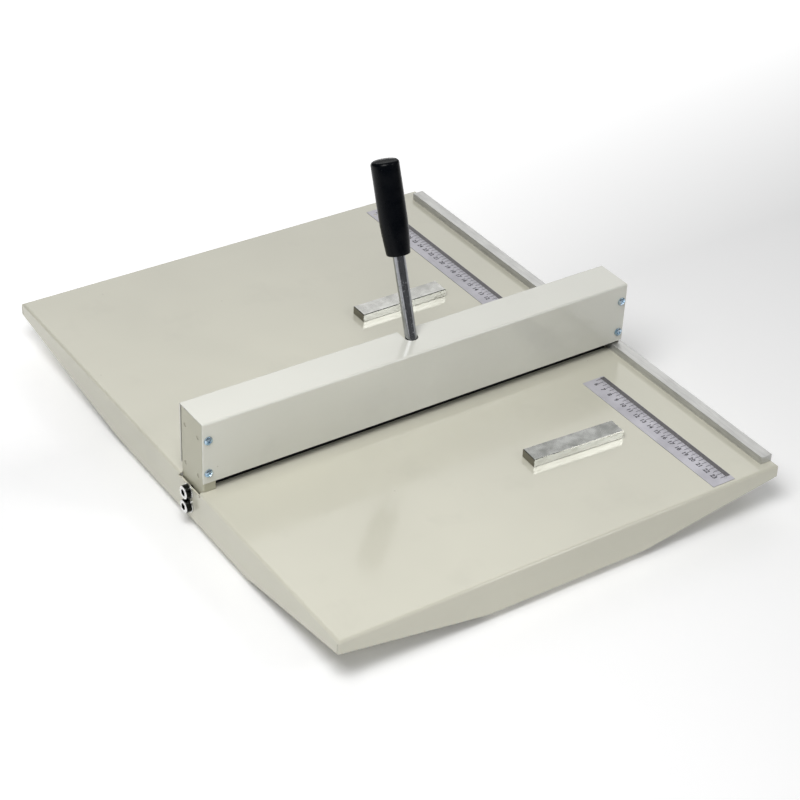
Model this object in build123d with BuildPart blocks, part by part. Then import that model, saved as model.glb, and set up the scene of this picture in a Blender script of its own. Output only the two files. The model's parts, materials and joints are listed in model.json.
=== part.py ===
from build123d import *
import os
from math import cos, radians, sin, tan

# Lever-operated bench creasing press for card and paper.
#
# Frame: millimetres. +X runs along the beam towards the side fence, +Y along
# the paper path towards the longer table, +Z up. The origin is on the bench,
# under the middle of the whole machine.

os.makedirs("parts", exist_ok=True)

# ---------------------------------------------------------------- dimensions
# Folded sheet table
TABLE_X = 470.0
TABLE_Y = 590.0
SHEET = 1.5
BEND_R = 2.5
SKIRT_MIDDLE = 36.5
SKIRT_CORNER = 12.5
FRONT_KINK_X = 85.0
SIDE_KINKS = (-101.0, 139.0)
RETURN_FRONT = 26.0
RETURN_SIDE = 20.0
CORNER_SEAM = 0.7
SEAM_TOP = 3.0

# Feet
FOOT_STAND = 8.0
FOOT_R = 9.0
FOOT_X = 48.5
FOOT_SETBACK = 19.5
FOOT_RECESS_R = 4.6
FOOT_RECESS = 3.5

TOP = FOOT_STAND + SKIRT_MIDDLE
BEAM_Y = -48.5
EDGE_X = TABLE_X / 2
EDGE_Y = TABLE_Y / 2
SKIRT_IN = EDGE_X - SHEET

# Cover over the beam
COVER_X = 464.0
COVER_Y = 41.0
COVER_TOP = 73.0
COVER_GAP = 10.0
COVER_SHEET = 1.2
COVER_BEND = 1.8
COVER_SCREW_X = 226.5
COVER_SCREW_Z = (20.6, 55.2)
COVER_SCREW = 4.4

# End brackets, folded from plate
WEB = 2.5
WEB_OUT = 231.7
WEB_IN = WEB_OUT - WEB
BRACKET_Y = 19.1
BRACKET_TOP = COVER_TOP - COVER_SHEET - 0.3
TIP_LEFT = 219.0
TIP_RIGHT = 222.3
TAB_Y = 17.3
TAB_DEPTH = 31.0
NOTCH_Y = 17.8
NOTCH_DEPTH = 3.2
NOTCH_PLAY = 0.3
RELIEF_R = 1.4
FLANGE_LIFT = COVER_GAP + 0.5
PACKER_Y = 14.0
PACKER_LOW = 6.0

# Fasteners: thread radius and head sizes
M3 = 1.5
M4 = 2.0
M5 = 2.5
M8 = 4.0
CLEAR = 0.25
TAP = 0.05
PAN_R = 3.8
PAN_H = 2.4
CAP_R = 3.5
CAP_H = 4.0
CAP5_R = 4.25
CAP5_H = 5.0
CAP5_SOCKET = 2.3
NUT_R = 4.04
NUT_H = 3.2
COVER_HEAD_R = 4.0
COVER_HEAD_H = 2.4
COVER_HEAD_EDGE = 1.1
CROSS_LONG = 4.6
CROSS_WIDE = 0.9
CROSS_DEEP = 1.6

# Side bolts through skirt, packer, web and channel end
BOLT_Z = (TOP - 8.3, TOP - 23.7)
BOLT_HEAD_R = 6.5
BOLT_HEAD_H = 5.2
BOLT_EDGE_R = 0.9
BOLT_SOCKET = 3.5
BOLT_SOCKET_DEEP = 2.2
WASHER_R = 7.3
WASHER_T = 1.2

# Lower channel and anvil
CHANNEL_Y = 20.0
CHANNEL_T = 3.0
CHANNEL_END = 5.0
CHANNEL_BEND = 2.0
ANVIL_UNDER = 10.5
ANVIL_BASE_Y = 16.0
ANVIL_RIB_Y = 12.0
ANVIL_RIB_X = 220.0
GROOVE_HALF = 1.2
GROOVE_DEPTH = 1.6
ANVIL_SCREW_PITCH = 90.0
ANVIL_SCREW = 9.0

# Rocker shaft, cams and hub
SHAFT_R = 6.0
SHAFT_Z = TOP + 54.5
RUN_FIT = 0.05
CAM_BASE_R = 8.0
CAM_START = 8.6
CAM_TIP = 16.3
CAM_HUB_R = 8.3
CAM_W = 12.0
CAM_X = 150.0
CAM_CREST = (14.5, 2.2)
CAM_CROWN = (2.0, 7.9)
CAM_FIRST = 2.0
CAM_POINTS = 11
FOLLOWER_GAP = 0.3
PIN_R = 2.0
HUB_R = 11.0
HUB_W = 28.0
HUB_PIN_X = 11.0
BOSS_R = 8.0
BOSS_TOP = 14.5
COLLAR_R = 10.0
COLLAR_W = 8.0
COLLAR_OUT = 218.8
GRUB_LONG = 3.6

# Lever
LEAN = 19.2
SWING = 52.0
ROD_R = 5.7
STUD_R = 4.0
STUD_START = 7.0
GRIP_START = 98.1
GRIP_END = 185.6
GRIP_R_LOW = 11.1
GRIP_R_TOP = 13.1
GRIP_TAPER = 36.0
GRIP_HEEL = 1.2
GRIP_RIM = 3.2
GRIP_DOME = 0.8
GRIP_BORE_END = 178.0
SLOT_HALF = 6.8

# Blocks inside the brackets
BLOCK_IN = 219.2
BLOCK_MID = (BLOCK_IN + WEB_IN) / 2
BLOCK_W = WEB_IN - BLOCK_IN
BEARING_Y = 15.5
BEARING_Z = 8.5
BUSH_R = 7.0
BLOCK_SCREW_Y = 11.3
SCREW_SHORT = 0.4
GUIDE_Y = 16.3
GUIDE_LOW = TOP + 11.0
GUIDE_HIGH = TOP + 17.0
PIN_X = 224.0
GUIDE_PIN_R = 3.0
GUIDE_PIN_TOP = TOP + 45.0
CLIP_Z = TOP + 40.3
CLIP_T = 0.8
CLIP_R = 5.0
CLIP_MOUTH = 4.2

# Moving press bar
BAR_Y = 10.0
BAR_X = 214.6
BAR_LOW = TOP + 18.0
PAD_T = 3.0
BAR_HIGH = SHAFT_Z - CAM_START - FOLLOWER_GAP - PAD_T
STEP_Z = TOP + 28.0
TONGUE_X = 228.5
TONGUE_Y = 8.0
TONGUE_LOW = TOP + 32.0
TONGUE_HIGH = TOP + 40.0
BLADE_T = 1.0
BLADE_X = 214.0
BLADE_EDGE = TOP + 6.8
CLAMP_T = 6.0
CLAMP_LOW = TOP + 17.0
CLAMP_SCREW_X = (35.0, 110.0, 185.0)
CLAMP_SCREW = 12.4
CLAMP_HEAD_R = 3.4
TAPPED = 8.0
PAD_X = 15.0
PAD_Y = 9.4
PAD_SCREW_X = 11.0
PAD_HEAD_R = 3.0
PAD_SINK = 0.15
GUIDE_BUSH_R = 4.0
GUIDE_BUSH_LOW = TOP + 31.5
SPRING_R = 4.0
SPRING_WIRE = 0.5
SPRING_TURNS = 5.0

# Side fence, scales and stops
FENCE_IN = 222.0
FENCE_OUT = 234.0
FENCE_H = 7.0
FENCE_EDGE_R = 0.4
FENCE_SCREW = 5.7
FENCE_TAPPED = 5.0
FENCE_LOW = -237.3
FENCE_HIGH = 328.5
FENCE_SCREW_YS = (-217.0, -128.0, -40.0, 40.0, 174.0, 308.0)
SCALE_IN = 161.5
SCALE_W = 25.0
SCALE_T = 0.6
SCALE_SPANS = {"front": (-242.0, -52.0), "rear": (52.0, 328.0)}
SCALE_HOLE = (166.5, 319.0)
SCALE_HOLE_R = 1.8
STOP_X = 98.0
STOP_Y = 19.0
STOP_H = 8.0
STOP_GAP = 0.3
STOP_PLACES = {"front": (90.5, -129.3, -3.0), "rear": (89.0, 154.0, 0.0)}
MAGNET_R = 6.0
MAGNET_T = 3.0
MAGNET_PITCH = 34.0

SIDES = {"left": -1, "right": 1}
SHAFT_CENTRE = (0, BEAM_Y, SHAFT_Z)
LEVER_DIR = (0, sin(radians(LEAN)), cos(radians(LEAN)))
LEVER_PLANE = Plane(origin=SHAFT_CENTRE, x_dir=(1, 0, 0), z_dir=LEVER_DIR)
LEVER_PROFILE = Plane(
    origin=SHAFT_CENTRE, x_dir=(1, 0, 0), z_dir=(0, -LEVER_DIR[2], LEVER_DIR[1])
)
ACROSS = (0, 90, 0)
ALONG = (90, 0, 0)


def box_between(low, high, mode=Mode.ADD):
    """A box given by its lowest and highest corners."""
    size = [b - a for a, b in zip(low, high)]
    middle = [(a + b) / 2 for a, b in zip(low, high)]
    with Locations(tuple(middle)):
        Box(*size, mode=mode)


def drill(places, radius, length, rotation, mode=Mode.SUBTRACT):
    """Cylinders centred on each place, turned onto their axis."""
    with Locations(*places):
        Cylinder(radius, length, rotation=rotation, mode=mode)


# ------------------------------------------------------------- base_pan
foot_places = [
    (x, side * (EDGE_Y - FOOT_SETBACK)) for x in (-FOOT_X, FOOT_X) for side in (-1, 1)
]
fence_mid = (FENCE_IN + FENCE_OUT) / 2

with BuildPart() as base_pan:
    box_between((-EDGE_X, -EDGE_Y, FOOT_STAND), (EDGE_X, EDGE_Y, TOP))
    fillet(base_pan.faces().sort_by(Axis.Z)[-1].edges(), BEND_R)
    # hollow underside
    with BuildSketch(Plane.XY.offset(FOOT_STAND)):
        Rectangle(TABLE_X - 2 * SHEET, TABLE_Y - 2 * SHEET)
    extrude(amount=SKIRT_MIDDLE - SHEET, mode=Mode.SUBTRACT)
    # skirts rise from the flat middle to the corners
    for side in (-1, 1):
        for end in (-1, 1):
            with BuildSketch(Plane.XZ.offset(-side * EDGE_Y)):
                with BuildLine():
                    Polyline(
                        (end * FRONT_KINK_X, FOOT_STAND - 1),
                        (end * FRONT_KINK_X, FOOT_STAND),
                        (end * EDGE_X, TOP - SKIRT_CORNER),
                        (end * (EDGE_X + 1), TOP - SKIRT_CORNER),
                        (end * (EDGE_X + 1), FOOT_STAND - 1),
                        close=True,
                    )
                make_face()
            extrude(amount=2 * SHEET, both=True, mode=Mode.SUBTRACT)
        for kink, end in zip(SIDE_KINKS, (-1, 1)):
            with BuildSketch(Plane.YZ.offset(side * EDGE_X)):
                with BuildLine():
                    Polyline(
                        (BEAM_Y + kink, FOOT_STAND - 1),
                        (BEAM_Y + kink, FOOT_STAND),
                        (end * EDGE_Y, TOP - SKIRT_CORNER),
                        (end * (EDGE_Y + 1), TOP - SKIRT_CORNER),
                        (end * (EDGE_Y + 1), FOOT_STAND - 1),
                        close=True,
                    )
                make_face()
            extrude(amount=2 * SHEET, both=True, mode=Mode.SUBTRACT)
    # return flanges along the flat stretches
    for side in (-1, 1):
        y_skirt = side * (EDGE_Y - SHEET)
        y_tip = side * (EDGE_Y - SHEET - RETURN_FRONT)
        box_between(
            (-FRONT_KINK_X + 3, min(y_skirt, y_tip), FOOT_STAND),
            (FRONT_KINK_X - 3, max(y_skirt, y_tip), FOOT_STAND + SHEET),
        )
        x_skirt = side * SKIRT_IN
        x_tip = side * (SKIRT_IN - RETURN_SIDE)
        box_between(
            (min(x_skirt, x_tip), BEAM_Y + SIDE_KINKS[0] + 3, FOOT_STAND),
            (max(x_skirt, x_tip), BEAM_Y + SIDE_KINKS[1] - 3, FOOT_STAND + SHEET),
        )
    # slot for the anvil rib, and a notch through each side bend
    box_between(
        (-ANVIL_RIB_X - 0.2, BEAM_Y - ANVIL_RIB_Y - 0.1, TOP - 2 * SHEET),
        (ANVIL_RIB_X + 0.2, BEAM_Y + ANVIL_RIB_Y + 0.1, TOP + 1),
        mode=Mode.SUBTRACT,
    )
    for side in (-1, 1):
        x_in = side * (WEB_IN - NOTCH_PLAY)
        x_out = side * (EDGE_X + 1)
        box_between(
            (min(x_in, x_out), BEAM_Y - NOTCH_Y, TOP - NOTCH_DEPTH),
            (max(x_in, x_out), BEAM_Y + NOTCH_Y, TOP + 1),
            mode=Mode.SUBTRACT,
        )
        notch_corners = [
            (side * (EDGE_X - SHEET / 2), BEAM_Y + s * NOTCH_Y, TOP - NOTCH_DEPTH)
            for s in (-1, 1)
        ]
        drill(notch_corners, RELIEF_R, 4 * SHEET, ACROSS)
        top_corners = [(x_in, BEAM_Y + s * NOTCH_Y, TOP) for s in (-1, 1)]
        drill(top_corners, RELIEF_R, 4 * SHEET, (0, 0, 0))
        bolt_places = [(side * (EDGE_X - SHEET / 2), BEAM_Y, z) for z in BOLT_Z]
        drill(bolt_places, M8 + CLEAR, 2 * SHEET, ACROSS)
    # open seam where each side skirt meets the end skirt
    for sx in (-1, 1):
        for sy in (-1, 1):
            seam_y = sy * (EDGE_Y - SHEET - CORNER_SEAM / 2)
            seam_z = (FOOT_STAND + TOP - SEAM_TOP) / 2
            with Locations((sx * (EDGE_X - SHEET / 2), seam_y, seam_z)):
                Box(
                    2 * SHEET,
                    CORNER_SEAM,
                    TOP - SEAM_TOP - FOOT_STAND,
                    mode=Mode.SUBTRACT,
                )
    drill([(x, y, FOOT_STAND) for x, y in foot_places], M4 + CLEAR, 4 * SHEET, (0, 0, 0))
    fence_holes = [(fence_mid, BEAM_Y + y, TOP) for y in FENCE_SCREW_YS]
    drill(fence_holes, M4 + CLEAR, 4 * SHEET, (0, 0, 0))
base_pan.part.label = "base_pan"
export_step(base_pan.part, "parts/base_pan.step")

# ------------------------------------------------------------- feet
with BuildPart() as rubber_feet:
    with Locations(*[(x, y, 0) for x, y in foot_places]):
        Cone(
            FOOT_R - 1,
            FOOT_R,
            FOOT_STAND,
            align=(Align.CENTER, Align.CENTER, Align.MIN),
        )
    fillet(rubber_feet.edges().group_by(Axis.Z)[0], 0.8)
    drill([(x, y, FOOT_STAND / 2) for x, y in foot_places], M4 + CLEAR, 20, (0, 0, 0))
    drill([(x, y, 0) for x, y in foot_places], FOOT_RECESS_R, 2 * FOOT_RECESS, (0, 0, 0))
rubber_feet.part.label = "rubber_feet"
export_step(rubber_feet.part, "parts/rubber_feet.step")

with BuildPart() as foot_screws:
    head_low = FOOT_RECESS - PAN_H
    nut_top = FOOT_STAND + SHEET + NUT_H
    shank_long = nut_top + 1 - FOOT_RECESS
    heads = [(x, y, FOOT_RECESS - PAN_H / 2) for x, y in foot_places]
    drill(heads, PAN_R, PAN_H, (0, 0, 0), Mode.ADD)
    shanks = [(x, y, FOOT_RECESS + shank_long / 2) for x, y in foot_places]
    drill(shanks, M4, shank_long, (0, 0, 0), Mode.ADD)
    with Locations(*[(x, y, head_low) for x, y in foot_places]):
        Box(CROSS_LONG, CROSS_WIDE, CROSS_DEEP, mode=Mode.SUBTRACT)
        Box(CROSS_WIDE, CROSS_LONG, CROSS_DEEP, mode=Mode.SUBTRACT)
foot_screws.part.label = "foot_screws"
export_step(foot_screws.part, "parts/foot_screws.step")

with BuildPart() as foot_nuts:
    with BuildSketch(Plane.XY.offset(FOOT_STAND + SHEET)):
        with Locations(*foot_places):
            RegularPolygon(NUT_R, 6)
            Circle(M4 + TAP, mode=Mode.SUBTRACT)
    extrude(amount=NUT_H)
foot_nuts.part.label = "foot_nuts"
export_step(foot_nuts.part, "parts/foot_nuts.step")

# ------------------------------------------------------------- channel
channel_top = TOP - ANVIL_UNDER
channel_low = TOP - TAB_DEPTH
anvil_screw_xs = [ANVIL_SCREW_PITCH * i for i in range(-2, 3)]

with BuildPart() as cross_channel:
    inner_x = WEB_IN - CHANNEL_END
    box_between(
        (-inner_x, BEAM_Y - CHANNEL_Y, channel_low),
        (inner_x, BEAM_Y + CHANNEL_Y, channel_top),
    )
    fillet(cross_channel.edges().filter_by(Axis.X).group_by(Axis.Z)[-1], CHANNEL_BEND)
    box_between(
        (-inner_x - 1, BEAM_Y - CHANNEL_Y + CHANNEL_T, channel_low - 1),
        (inner_x + 1, BEAM_Y + CHANNEL_Y - CHANNEL_T, channel_top - CHANNEL_T),
        mode=Mode.SUBTRACT,
    )
    for side in (-1, 1):
        x_a = side * inner_x
        x_b = side * WEB_IN
        box_between(
            (min(x_a, x_b), BEAM_Y - TAB_Y, channel_low),
            (max(x_a, x_b), BEAM_Y + TAB_Y, TOP - SHEET - 0.1),
        )
        tapped = [(side * (WEB_IN - CHANNEL_END / 2), BEAM_Y, z) for z in BOLT_Z]
        drill(tapped, M8 + TAP, 2 * CHANNEL_END, ACROSS)
    holes = [(x, BEAM_Y, channel_top) for x in anvil_screw_xs]
    drill(holes, M5 + CLEAR, 4 * CHANNEL_T, (0, 0, 0))
cross_channel.part.label = "cross_channel"
export_step(cross_channel.part, "parts/cross_channel.step")

# ------------------------------------------------------------- anvil
with BuildPart() as anvil_bar:
    anvil_x = WEB_IN - CHANNEL_END - 0.4
    box_between(
        (-anvil_x, BEAM_Y - ANVIL_BASE_Y, channel_top),
        (anvil_x, BEAM_Y + ANVIL_BASE_Y, TOP - SHEET),
    )
    box_between(
        (-ANVIL_RIB_X, BEAM_Y - ANVIL_RIB_Y, TOP - SHEET),
        (ANVIL_RIB_X, BEAM_Y + ANVIL_RIB_Y, TOP),
    )
    box_between(
        (-ANVIL_RIB_X - 9, BEAM_Y - GROOVE_HALF, TOP - GROOVE_DEPTH),
        (ANVIL_RIB_X + 9, BEAM_Y + GROOVE_HALF, TOP + 1),
        mode=Mode.SUBTRACT,
    )
    drill([(x, BEAM_Y, channel_top) for x in anvil_screw_xs], M5 + TAP, 13, (0, 0, 0))
anvil_bar.part.label = "anvil_bar"
export_step(anvil_bar.part, "parts/anvil_bar.step")

with BuildPart() as anvil_screws:
    plate_under = channel_top - CHANNEL_T
    heads = [(x, BEAM_Y, plate_under - CAP5_H / 2) for x in anvil_screw_xs]
    shanks = [(x, BEAM_Y, plate_under + ANVIL_SCREW / 2) for x in anvil_screw_xs]
    drill(heads, CAP5_R, CAP5_H, (0, 0, 0), Mode.ADD)
    drill(shanks, M5, ANVIL_SCREW, (0, 0, 0), Mode.ADD)
    with BuildSketch(Plane.XY.offset(plate_under - CAP5_H)):
        with Locations(*[(x, BEAM_Y) for x in anvil_screw_xs]):
            RegularPolygon(CAP5_SOCKET, 6)
    extrude(amount=CAP5_H / 2, mode=Mode.SUBTRACT)
anvil_screws.part.label = "anvil_screws"
export_step(anvil_screws.part, "parts/anvil_screws.step")

# ------------------------------------------------------------- end brackets
for name, side in SIDES.items():
    tip = TIP_LEFT if side < 0 else TIP_RIGHT
    with BuildPart() as end_bracket:
        with BuildSketch(Plane.XY.offset(TOP)):
            with Locations((side * (tip + WEB_OUT) / 2, BEAM_Y)):
                Rectangle(WEB_OUT - tip, 2 * BRACKET_Y)
            with Locations((side * (tip - 1 + WEB_IN) / 2, BEAM_Y)):
                Rectangle(WEB_IN - tip + 1, 2 * (BRACKET_Y - WEB), mode=Mode.SUBTRACT)
        extrude(amount=BRACKET_TOP)
        outer = end_bracket.edges().filter_by(Axis.Z).sort_by(Axis.X)
        fillet(outer[-2:] if side > 0 else outer[:2], 0.8 * WEB)
        tab_top = TOP
        if side > 0:
            # the right flanges stop above the fence, which runs on under the cover
            tab_top = TOP + FLANGE_LIFT
            box_between(
                (tip - 1, BEAM_Y - BRACKET_Y - 1, TOP - 1),
                (WEB_OUT + 1, BEAM_Y + BRACKET_Y + 1, tab_top),
                mode=Mode.SUBTRACT,
            )
        shoulders = end_bracket.edges().group_by(Axis.Z)[-1].filter_by(Axis.X).sort_by(Axis.Y)
        chamfer([shoulders[0], shoulders[-1]], COVER_BEND - COVER_SHEET)
        x_a = side * WEB_IN
        x_b = side * WEB_OUT
        box_between(
            (min(x_a, x_b), BEAM_Y - TAB_Y, TOP - TAB_DEPTH),
            (max(x_a, x_b), BEAM_Y + TAB_Y, tab_top),
        )
        web_mid = side * (WEB_IN + WEB_OUT) / 2
        drill([(web_mid, BEAM_Y, z) for z in BOLT_Z], M8 + CLEAR, 2 * WEB, ACROSS)
        block_holes = [
            (web_mid, BEAM_Y + s * BLOCK_SCREW_Y, z)
            for s in (-1, 1)
            for z in (SHAFT_Z, (GUIDE_LOW + GUIDE_HIGH) / 2)
        ]
        drill(block_holes, M4 + TAP, 2 * WEB, ACROSS)
        cover_holes = [(side * COVER_SCREW_X, BEAM_Y, TOP + z) for z in COVER_SCREW_Z]
        drill(cover_holes, M4 + TAP, 3 * BRACKET_Y, ALONG)
    end_bracket.part.label = f"end_bracket_{name}"
    export_step(end_bracket.part, f"parts/end_bracket_{name}.step")

with BuildPart() as side_packers:
    for side in (-1, 1):
        x_a = side * WEB_OUT
        x_b = side * SKIRT_IN
        box_between(
            (min(x_a, x_b), BEAM_Y - PACKER_Y, TOP - TAB_DEPTH),
            (max(x_a, x_b), BEAM_Y + PACKER_Y, TOP - PACKER_LOW),
        )
        drill([((x_a + x_b) / 2, BEAM_Y, z) for z in BOLT_Z], M8 + CLEAR, 6, ACROSS)
side_packers.part.label = "side_packers"
export_step(side_packers.part, "parts/side_packers.step")

bolt_ends = [(side, z) for side in (-1, 1) for z in BOLT_Z]
head_x = EDGE_X + WASHER_T

with BuildPart() as side_washers:
    places = [(side * (EDGE_X + WASHER_T / 2), BEAM_Y, z) for side, z in bolt_ends]
    drill(places, WASHER_R, WASHER_T, ACROSS, Mode.ADD)
    drill(places, M8 + CLEAR, 2 * WASHER_T, ACROSS)
side_washers.part.label = "side_washers"
export_step(side_washers.part, "parts/side_washers.step")

with BuildPart() as side_bolts:
    shank_in = WEB_IN - CHANNEL_END + 0.5
    shank = head_x - shank_in
    heads = [(side * (head_x + BOLT_HEAD_H / 2), BEAM_Y, z) for side, z in bolt_ends]
    drill(heads, BOLT_HEAD_R, BOLT_HEAD_H, ACROSS, Mode.ADD)
    ends = side_bolts.faces().filter_by(Axis.X).group_by(Axis.X)
    fillet((ends[0] + ends[-1]).edges(), BOLT_EDGE_R)
    shanks = [(side * (shank_in + shank / 2), BEAM_Y, z) for side, z in bolt_ends]
    drill(shanks, M8, shank, ACROSS, Mode.ADD)
    for side in (-1, 1):
        for z in BOLT_Z:
            face_centre = (side * (head_x + BOLT_HEAD_H), BEAM_Y, z)
            with BuildSketch(Plane(origin=face_centre, z_dir=(side, 0, 0))):
                RegularPolygon(BOLT_SOCKET, 6)
            extrude(amount=-BOLT_SOCKET_DEEP, mode=Mode.SUBTRACT)
side_bolts.part.label = "side_bolts"
export_step(side_bolts.part, "parts/side_bolts.step")

# ------------------------------------------------------------- beam cover
with BuildPart() as beam_cover:
    half_x = COVER_X / 2
    half_y = COVER_Y / 2
    box_between(
        (-half_x, BEAM_Y - half_y, TOP + COVER_GAP),
        (half_x, BEAM_Y + half_y, TOP + COVER_TOP),
    )
    fillet(beam_cover.edges().filter_by(Axis.X).group_by(Axis.Z)[-1], COVER_BEND)
    with BuildSketch(Plane.YZ.offset(-half_x - 1)):
        with Locations((BEAM_Y, TOP + (COVER_TOP - COVER_SHEET) / 2)):
            RectangleRounded(
                COVER_Y - 2 * COVER_SHEET,
                COVER_TOP - COVER_SHEET,
                COVER_BEND - COVER_SHEET,
            )
    extrude(amount=COVER_X + 2, mode=Mode.SUBTRACT)
    # lever slot: round at the front, over the rear bend, round at the bottom
    slot_front = (COVER_TOP - (SHAFT_Z - TOP)) * tan(radians(LEAN))
    slot_low = SHAFT_Z + half_y / tan(radians(LEAN + SWING))
    with BuildSketch(Plane.XY.offset(TOP + COVER_TOP - 2 * COVER_BEND)):
        with Locations((0, BEAM_Y + slot_front)):
            Circle(SLOT_HALF)
        with Locations((0, BEAM_Y + (slot_front + half_y + 1) / 2)):
            Rectangle(2 * SLOT_HALF, half_y + 1 - slot_front)
    extrude(amount=3 * COVER_BEND, mode=Mode.SUBTRACT)
    with BuildSketch(Plane.XZ.offset(-(BEAM_Y + half_y + 1))):
        with Locations((0, slot_low)):
            Circle(SLOT_HALF)
        with Locations((0, (slot_low + TOP + COVER_TOP) / 2)):
            Rectangle(2 * SLOT_HALF, TOP + COVER_TOP - slot_low)
    extrude(amount=2 + COVER_SHEET, mode=Mode.SUBTRACT)
    screw_axes = [
        (side * COVER_SCREW_X, BEAM_Y, TOP + z) for side in (-1, 1) for z in COVER_SCREW_Z
    ]
    drill(screw_axes, M4 + CLEAR, 2 * COVER_Y, ALONG)
beam_cover.part.label = "beam_cover"
export_step(beam_cover.part, "parts/beam_cover.step")

with BuildPart() as cover_screws:
    for s in (-1, 1):
        face_y = BEAM_Y + s * half_y
        shank_y = face_y - s * (COVER_SCREW / 2 - 0.1)
        drill([(x, shank_y, z) for x, _, z in screw_axes], M4, COVER_SCREW, ALONG, Mode.ADD)
        head_y = face_y + s * COVER_HEAD_H / 2
        heads = [(x, head_y, z) for x, _, z in screw_axes]
        drill(heads, COVER_HEAD_R, COVER_HEAD_H, ALONG, Mode.ADD)
    crown = cover_screws.faces().filter_by(Axis.Y).group_by(Axis.Y)
    fillet((crown[0] + crown[-1]).edges(), COVER_HEAD_EDGE)
    for s in (-1, 1):
        recess_y = BEAM_Y + s * (half_y + COVER_HEAD_H)
        with Locations(*[(x, recess_y, z) for x, _, z in screw_axes]):
            cross_turn = (0, 45, 0)
            Box(
                CROSS_LONG, 2 * CROSS_DEEP, CROSS_WIDE, rotation=cross_turn, mode=Mode.SUBTRACT
            )
            Box(
                CROSS_WIDE, 2 * CROSS_DEEP, CROSS_LONG, rotation=cross_turn, mode=Mode.SUBTRACT
            )
cover_screws.part.label = "cover_screws"
export_step(cover_screws.part, "parts/cover_screws.step")

# ------------------------------------------------------------- bearings
guide_screw_z = (GUIDE_LOW + GUIDE_HIGH) / 2
for name, side in SIDES.items():
    x_a = side * BLOCK_IN
    x_b = side * WEB_IN
    with BuildPart() as bearing_block:
        box_between(
            (min(x_a, x_b), BEAM_Y - BEARING_Y, SHAFT_Z - BEARING_Z),
            (max(x_a, x_b), BEAM_Y + BEARING_Y, SHAFT_Z + BEARING_Z),
        )
        chamfer(bearing_block.edges().filter_by(Axis.X), 1.0)
        drill([(side * BLOCK_MID, BEAM_Y, SHAFT_Z)], BUSH_R, 3 * BLOCK_W, ACROSS)
        ears = [(side * BLOCK_MID, BEAM_Y + s * BLOCK_SCREW_Y, SHAFT_Z) for s in (-1, 1)]
        drill(ears, M4 + CLEAR, 3 * BLOCK_W, ACROSS)
        sunk = [(side * BLOCK_IN, y, z) for _, y, z in ears]
        drill(sunk, CAP_R + CLEAR, 2 * CAP_H, ACROSS)
    bearing_block.part.label = f"bearing_block_{name}"
    export_step(bearing_block.part, f"parts/bearing_block_{name}.step")

    with BuildPart() as guide_block:
        box_between(
            (min(x_a, x_b), BEAM_Y - GUIDE_Y, GUIDE_LOW),
            (max(x_a, x_b), BEAM_Y + GUIDE_Y, GUIDE_HIGH),
        )
        drill([(side * PIN_X, BEAM_Y, GUIDE_LOW)], GUIDE_PIN_R, 30, (0, 0, 0))
        ends = [
            (side * BLOCK_MID, BEAM_Y + s * BLOCK_SCREW_Y, guide_screw_z) for s in (-1, 1)
        ]
        drill(ends, M4 + CLEAR, 3 * BLOCK_W, ACROSS)
    guide_block.part.label = f"guide_block_{name}"
    export_step(guide_block.part, f"parts/guide_block_{name}.step")

with BuildPart() as shaft_bushes:
    bush_places = [(side * BLOCK_MID, BEAM_Y, SHAFT_Z) for side in (-1, 1)]
    drill(bush_places, BUSH_R, BLOCK_W, ACROSS, Mode.ADD)
    drill(bush_places, SHAFT_R + RUN_FIT, 2 * BLOCK_W, ACROSS)
shaft_bushes.part.label = "shaft_bushes"
export_step(shaft_bushes.part, "parts/shaft_bushes.step")


def cap_screws(x_seat, z_height):
    """Four M4 cap screws along X, heads inward, from a seat to the web."""
    for side in (-1, 1):
        for s in (-1, 1):
            y = BEAM_Y + s * BLOCK_SCREW_Y
            length = WEB_OUT - SCREW_SHORT - x_seat
            drill(
                [(side * (x_seat + length / 2), y, z_height)], M4, length, ACROSS, Mode.ADD
            )
            drill([(side * (x_seat - CAP_H / 2), y, z_height)], CAP_R, CAP_H, ACROSS, Mode.ADD)


with BuildPart() as bearing_screws:
    cap_screws(BLOCK_IN + CAP_H, SHAFT_Z)
bearing_screws.part.label = "bearing_screws"
export_step(bearing_screws.part, "parts/bearing_screws.step")

with BuildPart() as guide_screws:
    cap_screws(BLOCK_IN, guide_screw_z)
guide_screws.part.label = "guide_screws"
export_step(guide_screws.part, "parts/guide_screws.step")

# ------------------------------------------------------------- bar guides
pin_places = [(side * PIN_X, BEAM_Y) for side in (-1, 1)]

with BuildPart() as guide_pins:
    with BuildSketch(Plane.XY.offset(GUIDE_LOW)):
        with Locations(*pin_places):
            Circle(GUIDE_PIN_R)
    extrude(amount=GUIDE_PIN_TOP - GUIDE_LOW)
    chamfer(guide_pins.edges().group_by(Axis.Z)[-1], 0.5)
    with BuildSketch(Plane.XY.offset(CLIP_Z)):
        with Locations(*pin_places):
            Circle(GUIDE_PIN_R + 1)
            Circle(GUIDE_PIN_R - 0.5, mode=Mode.SUBTRACT)
    extrude(amount=CLIP_T + 0.1, mode=Mode.SUBTRACT)
guide_pins.part.label = "guide_pins"
export_step(guide_pins.part, "parts/guide_pins.step")

with BuildPart() as guide_clips:
    with BuildSketch(Plane.XY.offset(CLIP_Z + TAP)):
        with Locations(*pin_places):
            Circle(CLIP_R)
            Circle(GUIDE_PIN_R - 0.4, mode=Mode.SUBTRACT)
        with Locations(*[(x, y - GUIDE_PIN_R) for x, y in pin_places]):
            Rectangle(CLIP_MOUTH, 2 * GUIDE_PIN_R, mode=Mode.SUBTRACT)
    extrude(amount=CLIP_T)
guide_clips.part.label = "guide_clips"
export_step(guide_clips.part, "parts/guide_clips.step")

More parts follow.
